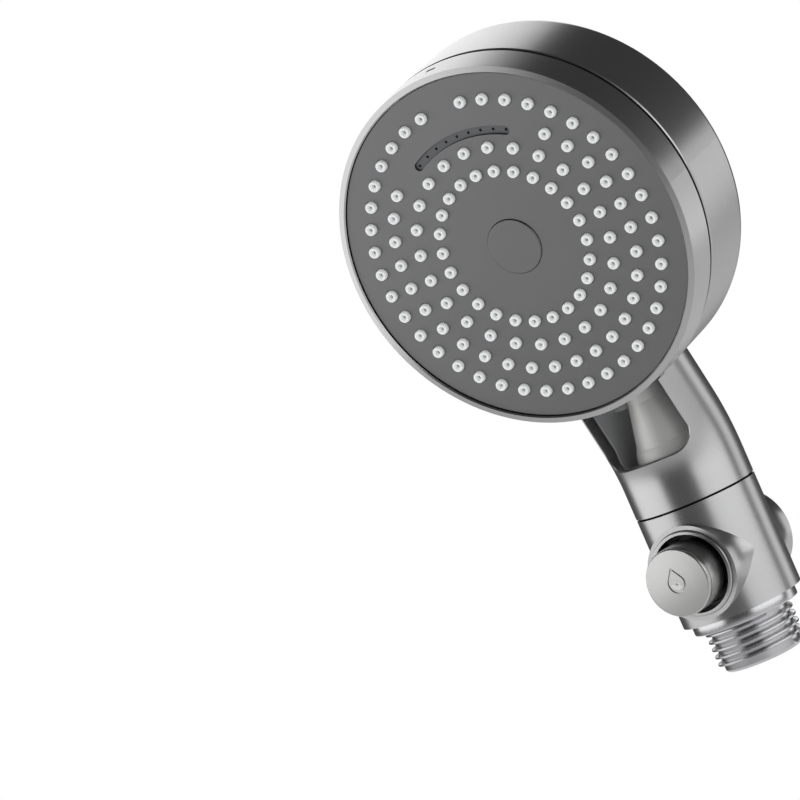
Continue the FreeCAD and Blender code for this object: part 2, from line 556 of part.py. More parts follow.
def build_neck():
    """Neck shell with its front opening, and the water stem that runs up inside it."""
    low = SEAM_Z + SEAM_GAP / 2
    inside_r = HANDLE_R - HANDLE_WALL
    wide = 3 * HANDLE_R
    drum_bar = disc(DRUM_R, 0, 2 * DRUM_DEPTH)
    drum_bar.Placement = DRUM
    ring_room = disc(DRUM_R + 0.4, SHELL_FRONT, 2 * DRUM_DEPTH)
    ring_room.Placement = DRUM

    # two screw bosses inside, for the screws that come down through the drum's side wall
    inside = sleeve(inside_r, low)
    pilots = []
    for side in (-1, 1):
        x = side * NECK_SCREW_X
        foot = -DRUM_R - NECK_BOSS_DEEP
        web = Part.makeBox(2 * SCREW_BOSS_R, -foot, wide + NECK_SCREW_S, Vec(x - SCREW_BOSS_R, foot, -wide))
        pad = web.fuse(across(SCREW_BOSS_R, foot, 0, NECK_SCREW_S, x))
        pad.Placement = DRUM
        inside = inside.cut(pad)
        pilot = across(SCREW_R + RUN, foot, 0, NECK_SCREW_S, x)
        pilot.Placement = DRUM
        pilots.append(pilot)
    outer = sleeve(HANDLE_R, low)
    shell = outer.cut(inside)
    shell = shell.fuse(tube(inside_r, STEM_R + 2 * SLIP, WEB_LOW, WEB_HIGH))
    opening = window()
    shell = shell.cut(opening)
    shell = shell.makeChamfer(WINDOW_LIP, shared_edges(shell, outer, opening))
    shell = shell.cut([drum_bar, ring_room] + pilots)
    save("neck_shell", [shell])

    save("neck_gasket", [tube(HANDLE_R - 0.3, inside_r + SLIP, low - SEAM_GAP + SEAT, low - SEAT)])

    knee_up = -(DRUM_Z - STEM_KNEE_Z) * math.cos(math.radians(DRUM_TILT))
    shoulder = -DRUM_R - 0.4
    spigot_low = SOCKET_FLOOR + SLIP
    knee = Vec(0, 0, STEM_KNEE_Z)
    cone = Part.makeCone(STEM_R, STEM_TOP_R, STEM_TAPER, Vec(0, knee_up, STEM_S), Vec(0, 1, 0))
    leaning = cone.fuse(across(STEM_TOP_R, knee_up + STEM_TAPER, shoulder, STEM_S))
    leaning = leaning.fuse(across(NECK_SPIGOT_R, shoulder, SOCKET_UP, STEM_S))
    seal_up = SOCKET_UP - 5.0
    floor = NECK_SPIGOT_R - 0.8
    ring_cut = across(NECK_SPIGOT_R + 1, seal_up - 0.45, seal_up + 0.45, STEM_S)
    leaning = leaning.cut(ring_cut.cut(across(floor, seal_up - 0.45, seal_up + 0.45, STEM_S)))
    leaning.Placement = DRUM
    bore = across(STEM_BORE_R, knee_up, SOCKET_UP, STEM_S)
    bore.Placement = DRUM
    stem = disc(SPIGOT_R, spigot_low, CORE_TOP).fuse(disc(FLANGE_R, CORE_TOP, CORE_TOP + FLANGE_T))
    stem = stem.fuse([disc(STEM_R, CORE_TOP, STEM_KNEE_Z), Part.makeSphere(STEM_R, knee), leaning])
    lower_floor = SPIGOT_R - 1.4
    lower_seal = spigot_low + 2.2
    stem = stem.cut(tube(SPIGOT_R + 1, lower_floor, lower_seal - 0.75, lower_seal + 0.75))
    stem = stem.cut([disc(STEM_BORE_R, spigot_low, STEM_KNEE_Z), Part.makeSphere(STEM_BORE_R, knee), bore])
    save("neck_stem", [stem.removeSplitter()])

    upper_seal = Part.makeTorus(floor + 0.4, 0.4, Vec(0, seal_up, STEM_S), Vec(0, 1, 0))
    upper_seal.Placement = DRUM.multiply(upper_seal.Placement)
    save("stem_seals", [o_ring(lower_floor, 0.7, lower_seal), upper_seal])

    nut = tube(inside_r - 0.4, STEM_R + RUN, WEB_HIGH + SLIP, WEB_HIGH + SLIP + 3.0)
    for turn in range(4):
        notch = Part.makeBox(3.0, 2.0, 1.5, Vec(inside_r - 2.0, -1.0, WEB_HIGH + SLIP + 1.5))
        notch.rotate(Vec(0, 0, 0), Vec(0, 0, 1), 45 + 90 * turn)
        nut = nut.cut(notch)
    save("neck_nut", [nut])


# ---------------------------------------------------------------- drum: fixed pieces
def build_rear_drum():
    """Rear shell, the water manifold in it, and the port seal that feeds the chosen mode."""
    outline = [(0, 0), (DRUM_R, 0, REAR_FILLET), (DRUM_R, SHELL_FRONT - EDGE), (DRUM_R - EDGE, SHELL_FRONT)]
    outline += [(SHELL_BORE_R, SHELL_FRONT), (SHELL_BORE_R, REAR_WALL), (0, REAR_WALL)]
    shell = lathe(outline)
    boss_top = MANIFOLD_BACK - SEAT
    spots = [polar(SCREW_CIRCLE_R, angle) for angle in SHELL_SCREW_ANGLES]
    shell = shell.fuse([disc(SCREW_BOSS_R, REAR_WALL / 2, boss_top, x, y) for x, y in spots])
    shell = shell.cut([disc(SCREW_R + RUN, REAR_WALL + 1.0, boss_top, x, y) for x, y in spots])
    shell = shell.cut(across(NECK_SPIGOT_R + SLIP, -DRUM_R - 5, -DRUM_R + 8, STEM_S))
    neck_screws = []
    for side in (-1, 1):
        x = side * NECK_SCREW_X
        shell = shell.cut(across(SCREW_R + SLIP, -DRUM_R - 1, NECK_SCREW_SEAT, NECK_SCREW_S, x))
        fastener = screw(1 - DRUM_R - NECK_BOSS_DEEP, NECK_SCREW_SEAT, True, x, -NECK_SCREW_S)
        fastener.rotate(Vec(0, 0, 0), Vec(1, 0, 0), -90)
        neck_screws.append(fastener)
    save("rear_shell", [shell], DRUM)
    save("neck_screws", neck_screws, DRUM)

    socket_r = NECK_SPIGOT_R + RUN
    port_boss_r = PORT_SEAL_R + SLIP + 1.1
    port_floor = MANIFOLD_FRONT - PORT_SOCKET_DEPTH
    ball_floor = MANIFOLD_FRONT - 5.1
    manifold = disc(MANIFOLD_R, MANIFOLD_BACK, MANIFOLD_FRONT)
    inlet = across(socket_r + 1.05, -SHELL_BORE_R + 1.4, 1 - TUB_R, STEM_S)
    manifold = manifold.fuse([disc(TUB_R, TUB_BACK, MANIFOLD_BACK), inlet])
    inside = disc(TUB_R - TUB_WALL, TUB_BACK + TUB_WALL, MANIFOLD_BACK)
    inside = inside.cut(disc(POST_R, TUB_BACK, MANIFOLD_BACK))
    inside = inside.cut(disc(port_boss_r, port_floor - 1.1, MANIFOLD_BACK, 0, -PORT_CIRCLE_R))
    inside = inside.cut(disc(BALL_R + 1.4, ball_floor - 1, MANIFOLD_BACK, 0, PORT_CIRCLE_R))
    manifold = manifold.cut(inside)
    manifold = manifold.fuse(disc(POST_R, MANIFOLD_FRONT - 1, POST_TOP))
    screw_floor = TUB_BACK + TUB_WALL + 2.0
    manifold = manifold.cut([
        across(socket_r, -SHELL_BORE_R, SOCKET_UP + SLIP, STEM_S),
        across(STEM_BORE_R, SOCKET_UP, TUB_WALL + 1 - TUB_R, STEM_S),
        disc(PORT_SEAL_R + SLIP, port_floor, MANIFOLD_FRONT, 0, -PORT_CIRCLE_R),
        disc(PORT_R, port_floor - 1.1, port_floor, 0, -PORT_CIRCLE_R),
        disc(BALL_R + RUN, ball_floor, MANIFOLD_FRONT, 0, PORT_CIRCLE_R),
        disc(PIVOT_SCREW_R + RUN, screw_floor, POST_TOP),
        arc_bar(LUG_R, LUG_T + 0.6, 90, TURN_RANGE + LUG_HALF, MANIFOLD_FRONT - 1.0, MANIFOLD_FRONT),
    ])
    for x, y in spots:
        manifold = manifold.cut(disc(SCREW_R + SLIP, MANIFOLD_BACK, MANIFOLD_FRONT, x, y))
        manifold = manifold.cut(disc(SCREW_HEAD_R + SLIP, HEAD_SEAT, MANIFOLD_FRONT, x, y))
    save("water_manifold", [manifold], DRUM)
    screws = [screw(REAR_WALL + 4.0, HEAD_SEAT + SEAT, True, x, y) for x, y in spots]
    save("manifold_screws", screws, DRUM)

    seal_back = port_floor + 3.7
    seal = tube(PORT_SEAL_R, PORT_R, seal_back, PLATE_BACK - TOUCH, 0, -PORT_CIRCLE_R)
    save("port_seal", [seal], DRUM)
    spring = coil(PORT_SEAL_R - 0.8, 0.35, port_floor + SEAT, seal_back - SEAT, 3, 0, -PORT_CIRCLE_R)
    save("port_spring", [spring], DRUM)
    ball_s = PLATE_BACK - TOUCH - BALL_R
    save("mode_ball", [Part.makeSphere(BALL_R, Vec(0, PORT_CIRCLE_R, ball_s))], DRUM)
    spring = coil(SPRING_R, SPRING_WIRE, ball_floor + TOUCH, ball_s - BALL_R - TOUCH, 5, 0, PORT_CIRCLE_R)
    save("mode_spring", [spring], DRUM)
    pivot = screw(screw_floor + 1.0, POST_TOP + SEAT, True, 0, 0, PIVOT_SCREW_R, HUB_BORE_R - 0.3, 1.6)
    save("pivot_screw", [pivot], DRUM)


# ---------------------------------------------------------------- drum: turning pieces
def jet_places():
    """x and y of every jet: even circles, with room left at the top for the arc slot."""
    places = []
    circle = FIRST_JET_CIRCLE
    while circle > CENTRE_CAP_R + JET_STEP + JET_BASE_R:
        count = 8 * round(2 * math.pi * circle / JET_PITCH / 8)
        pitch = 360.0 / count
        near_slot = abs(circle - SLOT_R) < SLOT_WIDTH
        room = SLOT_HALF + pitch if near_slot else pitch / 2
        outermost = circle == FIRST_JET_CIRCLE
        for index in range(count):
            angle = index * pitch
            off_top = abs(angle - 90)
            if off_top > room or not (near_slot or outermost):
                places.append(polar(circle, angle))
        circle = circle - JET_STEP
    return places


def build_spray_head():
    """Mode ring, face plate, jet mat and chamber plate, which turn together on the post."""
    jets = jet_places()
    screws = [polar(FACE_SCREW_CIRCLE, angle) for angle in FACE_SCREW_ANGLES]
    build_chamber_plate(screws)

    # rubber mat with one hollow nub for each jet
    mat = tube(MAT_R, HUB_BORE_R, MAT_BACK, MAT_FRONT)
    tip = FACE_FRONT + JET_PROUD
    nubs = [Part.makeCone(JET_BASE_R, JET_R, tip - MAT_FRONT, Vec(x, y, MAT_FRONT)) for x, y in jets]
    mat = mat.fuse(nubs)
    mat = mat.cut([disc(JET_BORE_R, MAT_BACK, tip, x, y) for x, y in jets])
    mat = mat.cut([disc(POST_SIZE + SLIP, MAT_BACK, MAT_FRONT, x, y) for x, y in screws])
    mat = mat.cut(arc_bar(SLOT_R, SLOT_WIDTH, 90, SLOT_HALF, MAT_BACK, MAT_FRONT))
    save("nozzle_mat", [mat], DRUM)

    # metal-look face with a clear hole for each nub
    posts = [disc(POST_SIZE, POST_FOOT, FACE_BACK + 0.5, x, y) for x, y in screws]
    plate = disc(FACE_R, FACE_BACK, FACE_FRONT).cut(disc(CENTRE_CAP_R + SLIP, FACE_BACK, FACE_FRONT))
    plate = plate.fuse([tube(FACE_R, SKIRT_R, SKIRT_BACK, FACE_BACK + 0.5)] + posts)
    plate = plate.cut([disc(JET_BASE_R + RUN, FACE_BACK, FACE_FRONT, x, y) for x, y in jets])
    plate = plate.cut([disc(SCREW_R + RUN, POST_FOOT, FACE_BACK - 0.4, x, y) for x, y in screws])
    plate = plate.cut(arc_bar(SLOT_R, SLOT_WIDTH, 90, SLOT_HALF, FACE_BACK, FACE_FRONT))
    save("face_plate", [plate], DRUM)

    # fine-jet bar, sunk in the arc slot
    insert = arc_bar(SLOT_R, SLOT_WIDTH - SLIP, 90, SLOT_HALF, MAT_BACK, FACE_FRONT - SLOT_SINK)
    for index in range(SLOT_BORES):
        angle = 90 - SLOT_HALF + 2 * SLOT_HALF * index / (SLOT_BORES - 1)
        insert = insert.cut(disc(SLOT_BORE_R, MAT_BACK, FACE_FRONT, *polar(SLOT_R, angle)))
    save("arc_insert", [insert], DRUM)

    cap = disc(CENTRE_CAP_R, FACE_BACK + 0.3, FACE_FRONT + 0.3)
    cap = round_edge(cap, 0.25, CENTRE_CAP_R, FACE_FRONT + 0.3)
    cap = cap.fuse(tube(CENTRE_CAP_R - 0.1, CENTRE_CAP_R - 1.1, FACE_BACK - 1.2, FACE_BACK + 0.3))
    save("centre_cap", [cap], DRUM)

    front_r = DRUM_R - RING_TAPER
    flange_r = CHAMBER_R + 0.4
    outline = [(flange_r, FLANGE_BACK), (RING_BORE_R, FLANGE_BACK), (RING_BORE_R, RING_BACK)]
    outline += [(DRUM_R - EDGE, RING_BACK), (DRUM_R, RING_BACK + EDGE)]
    outline += [(front_r, DRUM_DEPTH - RING_LIP), (RING_BORE_R + RIM_EDGE, DRUM_DEPTH)]
    outline += [(RING_BORE_R, DRUM_DEPTH - RIM_EDGE), (RING_BORE_R, FLANGE_FRONT), (flange_r, FLANGE_FRONT)]
    ring = lathe(outline)
    mark_r = DRUM_R - 0.4
    mark = Part.makeBox(2.4, 0.9, 1.2, Vec(-1.2, mark_r - 0.9, RING_BACK + 3.4))
    pocket = Part.makeBox(2.46, 1.5, 1.26, Vec(-1.23, mark_r - 0.93, RING_BACK + 3.37))
    save("mode_ring", [ring.cut(pocket)], DRUM)
    save("pointer_inlay", [mark], DRUM)
    heads = CHAMBER_FLOOR - 0.1
    save("face_screws", [screw(heads, FACE_BACK - 0.8, False, x, y) for x, y in screws], DRUM)


def build_chamber_plate(screws):
    """Back of the turning head: walls between the modes, three ports, detents and a stop lug."""
    plate = disc(CHAMBER_R, PLATE_BACK, CHAMBER_FRONT)
    room = disc(CHAMBER_R - CHAMBER_WALL, CHAMBER_FLOOR, CHAMBER_FRONT)
    keep = [
        disc(HUB_R, CHAMBER_FLOOR, CHAMBER_FRONT),
        tube(PARTITION_R + 0.5, PARTITION_R - 0.5, CHAMBER_FLOOR, CHAMBER_FRONT),
        sector(PARTITION_R, SLOT_R + 3.5, 90, SLOT_HALF + 7, CHAMBER_FLOOR, CHAMBER_FRONT).cut(
            sector(PARTITION_R, SLOT_R + 2.5, 90, SLOT_HALF + 5, CHAMBER_FLOOR, CHAMBER_FRONT)),
    ]
    keep += [disc(SCREW_BOSS_R, CHAMBER_FLOOR, CHAMBER_FLOOR + SCREW_PAD, x, y) for x, y in screws]
    plate = plate.cut(room.cut(keep))
    lip = tube(RING_BORE_R - 0.4, CHAMBER_R - 0.5, FLANGE_BACK - SEAT - 1.4, FLANGE_BACK - SEAT)
    lug = sector(LUG_R - LUG_T / 2, LUG_R + LUG_T / 2, 90, LUG_HALF, PLATE_BACK - 1.8, PLATE_BACK + 0.5)
    plate = plate.fuse([lip, lug])
    plate = plate.cut([disc(POST_R + RUN, PLATE_BACK, HUB_TOP), disc(HUB_BORE_R, HUB_TOP, CHAMBER_FRONT)])
    for angle in (-90 - TURN_RANGE, -90, -90 + TURN_RANGE):
        x, y = polar(PORT_CIRCLE_R, angle)
        plate = plate.cut(disc(PORT_R, PLATE_BACK, CHAMBER_FLOOR, x, y))
        plate = plate.cut(Part.makeSphere(BALL_R, Vec(-x, -y, PLATE_BACK - 0.5)))
    for x, y in screws:
        plate = plate.cut(disc(SCREW_R + SLIP, PLATE_BACK, CHAMBER_FLOOR + SCREW_PAD, x, y))
        plate = plate.cut(disc(SCREW_HEAD_R + SLIP, PLATE_BACK, CHAMBER_FLOOR - 0.1, x, y))
    save("chamber_plate", [plate], DRUM)


os.makedirs("parts", exist_ok=True)
build_inlet()
build_lower_handle()
build_spool()
build_neck()
build_rear_drum()
build_spray_head()
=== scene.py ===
# %% [markdown]
# # Handheld shower head
#
# The engineering model of the shower head arrives finished: every shell, seal and screw is already
# where it belongs. This notebook gives it its looks. It makes again, in finer detail, the pieces
# that a plain model only hints at, and it gives every piece the finish that its maker would.
# The frame comes first, because all later places are measured from it.

# %% Load the frame
import json
import math

import bmesh
import bpy
from mathutils import Matrix, Vector


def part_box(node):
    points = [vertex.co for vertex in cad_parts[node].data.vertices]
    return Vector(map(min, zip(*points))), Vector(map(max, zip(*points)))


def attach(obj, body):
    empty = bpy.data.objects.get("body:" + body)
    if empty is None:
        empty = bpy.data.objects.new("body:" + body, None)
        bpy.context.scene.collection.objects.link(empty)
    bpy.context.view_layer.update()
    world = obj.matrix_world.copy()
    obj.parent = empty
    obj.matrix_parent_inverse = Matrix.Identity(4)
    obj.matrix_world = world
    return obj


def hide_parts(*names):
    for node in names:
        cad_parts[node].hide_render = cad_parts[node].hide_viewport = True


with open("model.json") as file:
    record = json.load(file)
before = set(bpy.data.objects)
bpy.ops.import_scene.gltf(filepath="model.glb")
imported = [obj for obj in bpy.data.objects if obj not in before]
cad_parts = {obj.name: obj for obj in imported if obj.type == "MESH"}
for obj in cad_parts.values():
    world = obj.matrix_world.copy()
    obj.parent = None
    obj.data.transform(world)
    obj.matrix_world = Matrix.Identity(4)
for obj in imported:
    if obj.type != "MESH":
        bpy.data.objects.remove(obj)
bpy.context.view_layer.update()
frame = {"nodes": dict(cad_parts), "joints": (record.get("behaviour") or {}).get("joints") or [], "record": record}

MM = 0.001

# %% [markdown]
# The handle stands upright, but the spray drum leans forward, so most of its pieces are easiest to
# make lying flat and then to turn into place. The joint of the mode ring says where the drum's
# axis runs. From it comes one matrix, which carries a shape from "flat, with Z as the spray
# direction" to where it belongs.

# %% Find the drum's own axes
turn_joint = next(joint for joint in frame["joints"] if joint["name"] == "mode_turn")
spray_way = Vector(turn_joint["axis"]).normalized()
drum_up = Vector((1, 0, 0)).cross(spray_way) * -1
DRUM = Matrix.Translation(Vector(turn_joint["pos_m"])) @ Matrix(
    ((1, drum_up.x, spray_way.x), (0, drum_up.y, spray_way.y), (0, drum_up.z, spray_way.z))).to_4x4()
button_low, button_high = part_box("stop_cap")
VALVE = Matrix.Translation((0, 0, (button_low.z + button_high.z) / 2)) @ Matrix.Rotation(math.radians(90), 4, "X")
UPRIGHT = Matrix.Identity(4)
print("spray direction:", [round(value, 3) for value in spray_way])


def local_box(node, place):
    """Lowest and highest corner of a frame piece, in the axes of that place, in millimetres."""
    back = place.inverted()
    points = [back @ vertex.co / MM for vertex in frame["nodes"][node].data.vertices]
    low = Vector([min(point[axis] for point in points) for axis in range(3)])
    high = Vector([max(point[axis] for point in points) for axis in range(3)])
    return low, high


# %% [markdown]
# ## Camera
#
# The shower head is held up by its hose end, seen from the front and a little to one side, with
# the handle leaning away to the right. A long lens keeps the drum's ellipse flat, the way a
# catalogue shows it. The handle is upright in the model, so the camera rolls instead.

# %% Place the camera
LENS = 221.5
SENSOR = 36.0
CAMERA_PLACE = Vector((0.5743, -0.9524, 0.1528))
CAMERA_RIGHT = Vector((0.7745, 0.4898, -0.4003))
CAMERA_BACK = Vector((0.5553, -0.8295, 0.0594)).normalized()
camera_up = CAMERA_BACK.cross(CAMERA_RIGHT).normalized()
camera_side = camera_up.cross(CAMERA_BACK)
camera = bpy.data.objects.new("camera", bpy.data.cameras.new("camera"))
bpy.context.scene.collection.objects.link(camera)
camera.matrix_world = Matrix.Translation(CAMERA_PLACE) @ Matrix(
    (camera_side, camera_up, CAMERA_BACK)).transposed().to_4x4()
camera.data.sensor_width = SENSOR
camera.data.lens = LENS
bpy.context.scene.camera = camera
print("camera looks along", [round(-value, 2) for value in CAMERA_BACK])

# %% [markdown]
# ## Studio
#
# Satin metal has hardly any colour of its own: what it shows is the room. A softbox on either
# side gives the two broad bright bands down the handle, and the dark gap between them falls in
# the middle. The left one is small and close, so that it fades across the face. One box high
# behind and one low at the side light the drum's far edge. The room itself is nearly black in
# the metal, grey as fill light and white to look at. The floor is a pale sheet well below.


# %% Softboxes
AIM = Vector((0, 0, 0.085))


def softbox(name, azimuth, elevation, size, power, distance=1.1):
    """A rectangular lamp, aimed at the middle of the object from a compass direction."""
    turn, rise = math.radians(azimuth), math.radians(elevation)
    way = Vector((math.sin(turn) * math.cos(rise), -math.cos(turn) * math.cos(rise), math.sin(rise)))
    lamp = bpy.data.lights.new(name, "AREA")
    lamp.shape = "RECTANGLE"
    lamp.size, lamp.size_y = size
    lamp.energy = power
    placed = bpy.data.objects.new(name, lamp)
    aimed = way.to_track_quat("Z", "Y").to_matrix().to_4x4()
    placed.matrix_world = Matrix.Translation(AIM + way * distance) @ aimed
    placed.visible_camera = False
    bpy.context.scene.collection.objects.link(placed)
    return placed


VIEW_AZIMUTH = math.degrees(math.atan2(CAMERA_BACK.x, -CAMERA_BACK.y))
softbox("left_softbox", VIEW_AZIMUTH - 90, 3, (0.78, 0.37), 1.36, 0.5)
softbox("right_softbox", VIEW_AZIMUTH + 50, 4, (1.8, 0.7), 5.9)
softbox("high_back_box", VIEW_AZIMUTH - 178, 26, (0.8, 0.8), 2.95)
softbox("low_side_box", VIEW_AZIMUTH + 115, -8, (0.4, 0.5), 0.75)
print("softboxes:", len(bpy.data.lights))

# %% Room
WHITE = (1, 1, 1, 1)
IN_METAL, AS_FILL, TO_THE_EYE = 0.06, 0.65, 1.0
room = bpy.data.worlds.new("white_room")
bpy.context.scene.world = room
room.use_nodes = True
nodes, links = room.node_tree.nodes, room.node_tree.links
nodes.clear()
path = nodes.new("ShaderNodeLightPath")
output = nodes.new("ShaderNodeOutputWorld")
mirrored = nodes.new("ShaderNodeBackground")
mirrored.inputs["Color"].default_value = WHITE
mirrored.inputs["Strength"].default_value = IN_METAL
so_far = mirrored.outputs[0]
for ray, strength in (("Is Diffuse Ray", AS_FILL), ("Is Camera Ray", TO_THE_EYE)):
    seen = nodes.new("ShaderNodeBackground")
    seen.inputs["Color"].default_value = WHITE
    seen.inputs["Strength"].default_value = strength
    either = nodes.new("ShaderNodeMixShader")
    links.new(path.outputs[ray], either.inputs["Fac"])
    links.new(so_far, either.inputs[1])
    links.new(seen.outputs[0], either.inputs[2])
    so_far = either.outputs[0]
links.new(so_far, output.inputs["Surface"])
print("room strengths:", IN_METAL, AS_FILL, TO_THE_EYE)

# %% Floor
FLOOR_DROP = 0.30
FLOOR_R = 1.2
shape = bmesh.new()
bmesh.ops.create_circle(shape, cap_ends=True, segments=96, radius=FLOOR_R)
bmesh.ops.translate(shape, verts=shape.verts, vec=(0, 0, -FLOOR_DROP))
floor = bpy.data.objects.new("floor", bpy.data.meshes.new("floor"))
shape.to_mesh(floor.data)
shape.free()
bpy.context.scene.collection.objects.link(floor)
bpy.context.scene.view_settings.view_transform = "Standard"
print("floor", FLOOR_DROP, "m below the inlet")

# %% [markdown]
# ## Tools for materials
#
# Colours are written as a painter's hex codes. Those are sRGB values, and the shader works in
# linear light, so one function converts them. A second one adds any node, with its settings and
# its inputs: an input that is itself another node's output becomes a link. In a name of an input,
# two underscores stand for a space, and one underscore and a number give its place in the list.


# %% Colour and node helpers
def linear(code):
    """Linear RGBA from an sRGB hex code such as "8a8a8c"."""
    channels = [int(code[place:place + 2], 16) / 255 for place in (0, 2, 4)]
    return [value / 12.92 if value <= 0.04045 else ((value + 0.055) / 1.055) ** 2.4 for value in channels] + [1.0]


def add(material, kind, settings=None, **inputs):
    """Add a node; an input is a value or another node's output."""
    node = material.node_tree.nodes.new(kind)
    for name, value in (settings or {}).items():
        setattr(node, name, value)
    for name, value in inputs.items():
        socket = node.inputs[int(name[1:])] if name[0] == "_" else node.inputs[name.replace("__", " ")]
        if isinstance(value, bpy.types.NodeSocket):
            material.node_tree.links.new(value, socket)
        else:
            socket.default_value = value
    return node


def blank(name):
    """A new material with a shader, its output, and object coordinates in metres."""
    material = bpy.data.materials.new(name)
    material.use_nodes = True
    material.node_tree.nodes.clear()
    output = add(material, "ShaderNodeOutputMaterial")
    shader = add(material, "ShaderNodeBsdfPrincipled")
    material.node_tree.links.new(shader.outputs["BSDF"], output.inputs["Surface"])
    place = add(material, "ShaderNodeTexCoord").outputs["Object"]
    return material, shader, place


def connect(material, output, shader, socket):
    """Lead a node's output into a socket of the shader."""
    material.node_tree.links.new(output, shader.inputs[socket])


print("mid grey 808080 is", round(linear("808080")[0], 3), "in linear light")

# %% [markdown]
# ## Gunmetal plating
#
# The shells are ABS, moulded, lightly blasted and then electroplated with black nickel. Blasting
# leaves a fine even grain, so highlights spread wide and sparkle a little. The grain is about
# 0.15 mm on the real part; here it is drawn at 0.3 mm, so that it still shows from a metre
# away. A slow, faint change of tone keeps the large faces from looking printed. The stem has
# the same grain, but only a thin, milky coat of metal.

# %% Gunmetal plating
GRAIN = 0.3 * MM
CLOUD = 30 * MM
GLOSS_SPREAD = 0.04


def plated(name, dark, light, roughness, grain_depth, metallic=1.0):
    """Blasted and plated plastic: slow cloudy tone, fine grain in roughness and bump."""
    material, shader, place = blank(name)
    cloud = add(material, "ShaderNodeTexNoise", Vector=place, Scale=1 / CLOUD, Detail=3.0)
    grain = add(material, "ShaderNodeTexNoise", Vector=place, Scale=1 / GRAIN, Detail=2.0)
    tone = add(material, "ShaderNodeMix", {"data_type": "RGBA"}, Factor=cloud.outputs["Fac"])
    tone.inputs[6].default_value = linear(dark)
    tone.inputs[7].default_value = linear(light)
    gloss = add(material, "ShaderNodeMapRange", Value=grain.outputs["Fac"])
    gloss.inputs["To Min"].default_value = roughness - GLOSS_SPREAD
    gloss.inputs["To Max"].default_value = roughness + GLOSS_SPREAD
    bump = add(material, "ShaderNodeBump", Height=grain.outputs["Fac"], Strength=1.0, Distance=grain_depth)
    connect(material, tone.outputs[2], shader, "Base Color")
    connect(material, gloss.outputs["Result"], shader, "Roughness")
    connect(material, bump.outputs["Normal"], shader, "Normal")
    shader.inputs["Metallic"].default_value = metallic
    return material


gunmetal = plated("blasted_black_nickel", "b1b1b2", "b8b8b8", 0.29, 0.001 * MM)
face_finish = plated("matte_grey_face", "747475", "7a7a7b", 0.46, 0.003 * MM)
satin = plated("satin_nickel", "b4b4b3", "bcbcbb", 0.30, 0.002 * MM)
stem_finish = plated("blasted_stem", "c0c0be", "c8c8c6", 0.48, 0.003 * MM, metallic=0.35)
neck_plating_painted_light_lining = plated("half_plated_neck_painted_light_lining", "b1b1b2", "b8b8b8", 0.29, 0.001 * MM)
print("plated finishes:", gunmetal.name, face_finish.name, satin.name, stem_finish.name, neck_plating_painted_light_lining.name)

# %% [markdown]
# Plating hardly reaches the inside of a deep sleeve, so behind its opening the neck is unplated
# plastic, not metal. Its pale grey is also painted light: the tone is raised to near white so
# that the shaded inside of the sleeve looks lit. One mesh has both, and a mask tells them apart:
# how far a point is from the sleeve's own centre line, which rises straight, bends forward on an
# arc and then leans. Whatever is nearer than the inside wall is unplated and painted pale.

# %% Unplated lining of the neck, with painted light
NECK_BORE_R = 12.15 * MM
BEND_FOOT = 46.6 * MM
BEND_R = 42 * MM
LEAN = math.radians(17)
bend_end = (0, BEND_R * (math.cos(LEAN) - 1), BEND_FOOT + BEND_R * math.sin(LEAN))
place = next(node for node in neck_plating_painted_light_lining.node_tree.nodes if node.type == "TEX_COORD").outputs["Object"]
axes = add(neck_plating_painted_light_lining, "ShaderNodeSeparateXYZ", Vector=place)
rise = add(neck_plating_painted_light_lining, "ShaderNodeMath", {"operation": "SUBTRACT"}, _0=axes.outputs["Z"], _1=BEND_FOOT)
rise = add(neck_plating_painted_light_lining, "ShaderNodeMath", {"operation": "MAXIMUM"}, _0=rise.outputs[0], _1=0.0)
depth = add(neck_plating_painted_light_lining, "ShaderNodeMath", {"operation": "ADD"}, _0=axes.outputs["Y"], _1=BEND_R)
from_hinge = add(neck_plating_painted_light_lining, "ShaderNodeCombineXYZ", Y=depth.outputs[0], Z=rise.outputs[0])
on_arc = add(neck_plating_painted_light_lining, "ShaderNodeVectorMath", {"operation": "LENGTH"}, _0=from_hinge.outputs[0])
on_arc = add(neck_plating_painted_light_lining, "ShaderNodeMath", {"operation": "SUBTRACT"}, _0=on_arc.outputs["Value"], _1=BEND_R)
from_end = add(neck_plating_painted_light_lining, "ShaderNodeVectorMath", {"operation": "SUBTRACT"}, _0=place, _1=bend_end)
leaning = add(neck_plating_painted_light_lining, "ShaderNodeVectorMath", {"operation": "DOT_PRODUCT"},
              _0=from_end.outputs["Vector"], _1=(0, math.cos(LEAN), math.sin(LEAN)))
past = add(neck_plating_painted_light_lining, "ShaderNodeVectorMath", {"operation": "DOT_PRODUCT"},
           _0=from_end.outputs["Vector"], _1=(0, -math.sin(LEAN), math.cos(LEAN)))
past = add(neck_plating_painted_light_lining, "ShaderNodeMath", {"operation": "GREATER_THAN"}, _0=past.outputs["Value"], _1=0.0)
across = add(neck_plating_painted_light_lining, "ShaderNodeMix", {"data_type": "FLOAT"}, Factor=past.outputs[0],
             A=on_arc.outputs[0], B=leaning.outputs["Value"])
section = add(neck_plating_painted_light_lining, "ShaderNodeCombineXYZ", X=axes.outputs["X"], Y=across.outputs[0])
radius = add(neck_plating_painted_light_lining, "ShaderNodeVectorMath", {"operation": "LENGTH"}, _0=section.outputs[0])
unplated_painted_light_lining = add(neck_plating_painted_light_lining, "ShaderNodeMath", {"operation": "LESS_THAN"}, _0=radius.outputs["Value"], _1=NECK_BORE_R)
plating = add(neck_plating_painted_light_lining, "ShaderNodeMath", {"operation": "SUBTRACT"}, _0=1.0, _1=unplated_painted_light_lining.outputs[0])
shader = next(node for node in neck_plating_painted_light_lining.node_tree.nodes if node.type == "BSDF_PRINCIPLED")
plate_tone = shader.inputs["Base Color"].links[0].from_socket
